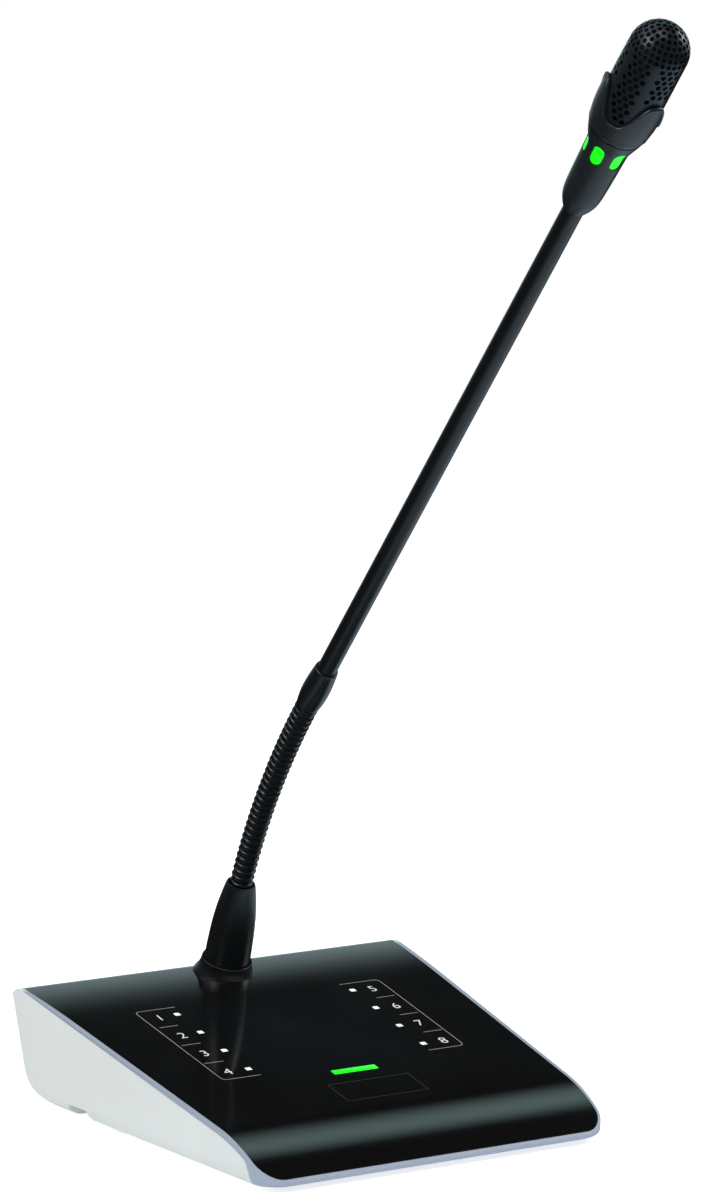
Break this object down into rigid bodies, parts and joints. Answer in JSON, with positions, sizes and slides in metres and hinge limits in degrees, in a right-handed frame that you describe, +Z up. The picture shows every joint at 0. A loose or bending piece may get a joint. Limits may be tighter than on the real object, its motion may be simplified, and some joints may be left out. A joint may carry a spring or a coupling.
{
  "type": "desk paging call station",
  "caption": "Wedge-shaped desk paging station with a glossy black touch panel in a light grey tray and a gooseneck microphone with a lit ring.",
  "frame": {"origin": "on the desk, under the middle of the whole part", "axes": "+Z up from the desk, -Y towards the user, +X to the user's right"},
  "size_m": [0.1604, 0.2892, 0.3897],
  "materials": {
    "grey_plastic": "fine satin grain",
    "black_gloss": "smooth gloss",
    "light_lens": "smooth lens, unlit",
    "green_lens": "lit lens",
    "card": "matt card",
    "circuit": "solder mask",
    "film": "polyimide film",
    "socket_black": "moulded",
    "plug_grey": "moulded",
    "steel": "plain",
    "brass": "machined",
    "rubber": "matt",
    "cable_black": "smooth jacket",
    "stem_plastic": "satin moulded",
    "stem_metal": "satin black lacquer",
    "head_plastic": "satin moulded",
    "grille_metal": "satin black lacquer on pressed mesh",
    "foam": "open foam",
    "capsule_metal": "turned"
  },
  "bodies": {
    "base": {"housing": "grey_plastic", "top_panel": "black_gloss", "label_card": "card", "touch_board": "circuit", "zone_light_1": "light_lens", "zone_light_2": "light_lens", "zone_light_3": "light_lens", "zone_light_4": "light_lens", "zone_light_5": "light_lens", "zone_light_6": "light_lens", "zone_light_7": "light_lens", "zone_light_8": "light_lens", "call_light_bar": "green_lens", "main_board": "circuit", "flat_ribbon": "film", "line_socket": "socket_black", "cable_plug": "plug_grey", "base_cable": "cable_black", "ballast_plate": "steel", "stem_bush": "brass", "stem_washer": "steel", "stem_nut": "brass", "stem_collar": "stem_plastic", "stem_boot": "stem_plastic", "case_screw_1": "steel", "case_screw_2": "steel", "case_screw_3": "steel", "case_screw_4": "steel", "board_screw_1": "steel", "board_screw_2": "steel", "board_screw_3": "steel", "board_screw_4": "steel", "foot_1": "rubber", "foot_2": "rubber", "foot_3": "rubber", "foot_4": "rubber"},
    "neck": {"gooseneck": "stem_metal", "neck_cable": "cable_black"},
    "stem": {"stem_sleeve": "stem_plastic", "stem_tube": "stem_metal", "stem_cable": "cable_black", "head_body": "head_plastic", "light_ring": "green_lens", "ring_board": "circuit", "head_collar": "head_plastic", "grille": "grille_metal", "windscreen": "foam", "mic_capsule": "capsule_metal", "capsule_mount": "socket_black"}
  },
  "joints": [
    {"name": "neck_pitch", "type": "hinge", "parent": "base", "child": "neck", "pos_m": [0, 0.10875, 0.09557], "axis": [1, 0, 0], "range_deg": [-55, 35], "deforming": ["gooseneck", "neck_cable"]},
    {"name": "neck_sway", "type": "hinge", "parent": "neck", "child": "stem", "pos_m": [0, 0.08533, 0.13157], "axis": [0, 0.7934, 0.6088], "range_deg": [-45, 45], "deforming": ["gooseneck", "neck_cable"]}
  ]
}
